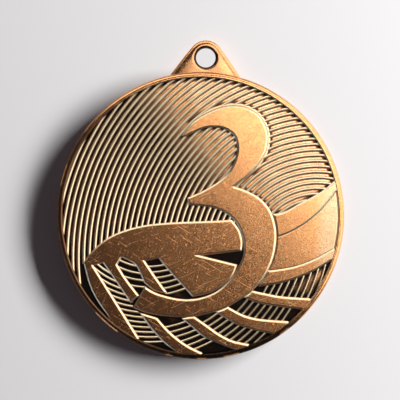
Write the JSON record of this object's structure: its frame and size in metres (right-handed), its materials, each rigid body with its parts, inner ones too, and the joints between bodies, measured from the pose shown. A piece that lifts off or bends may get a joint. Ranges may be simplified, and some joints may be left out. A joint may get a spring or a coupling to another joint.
{
  "type": "award medal",
  "caption": "Round bronze-finish award medal with a relief numeral, curved stripes, fine ridges, a ribbon lug with a ring hole and a blank engraving label on the back.",
  "frame": {"origin": "middle of the back of the medal, on the face that it lies on", "axes": "+Z out of the relief face, +Y from the middle of the disc to the ribbon lug, +X to the right as the face is read"},
  "size_m": [0.05, 0.0555, 0.0028],
  "materials": {
    "antique_bronze": "antique bronze plating, relieved and lacquered",
    "bronze_ground": "antique bronze plating, left dark in the ground of the relief",
    "label_metal": "fine brushed, bronze anodised",
    "adhesive": "clear acrylic adhesive film"
  },
  "bodies": {
    "root": {"medal_disc": "bronze_ground", "rim": "antique_bronze", "suspension_loop": "antique_bronze", "numeral_three": "antique_bronze", "numeral_border": "antique_bronze", "leaf": "antique_bronze", "side_panel": "antique_bronze", "stripe_1": "antique_bronze", "stripe_2": "antique_bronze", "stripe_3": "antique_bronze", "stripe_4": "antique_bronze", "stripe_5": "antique_bronze", "stripe_6": "antique_bronze", "field_ridges": "antique_bronze", "window_ridges": "antique_bronze", "stripe_ridges": "antique_bronze", "engraving_label": "label_metal", "label_adhesive": "adhesive"}
  },
  "joints": []
}
